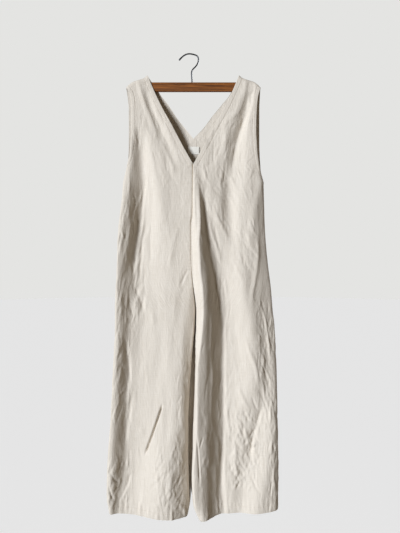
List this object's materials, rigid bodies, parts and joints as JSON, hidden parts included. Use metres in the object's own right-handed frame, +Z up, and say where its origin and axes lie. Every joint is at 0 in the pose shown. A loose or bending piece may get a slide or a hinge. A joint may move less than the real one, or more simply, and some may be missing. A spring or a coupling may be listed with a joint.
{
  "type": "jumpsuit on a hanger",
  "caption": "Sleeveless V-neck linen jumpsuit with wide straight legs, hung on a wooden bar hanger with a wire hook.",
  "frame": {"origin": "the inner side of the hook, where the nail or rail that holds it bears", "axes": "+Z up, -Y towards the viewer at the garment's front, +X to the viewer's right"},
  "size_m": [0.5549, 0.1049, 1.5083],
  "materials": {
    "linen": "washed plain-woven linen, undyed, matte",
    "label_tape": "plain white woven tape, slight sheen",
    "stained_wood": "reddish brown stain under satin varnish",
    "steel_wire": "bright plated steel wire"
  },
  "bodies": {
    "root": {"front_left": "linen", "front_right": "linen", "back_left": "linen", "back_right": "linen", "neck_label": "label_tape", "hanger_bar": "stained_wood", "hanger_hook": "steel_wire"}
  },
  "joints": []
}
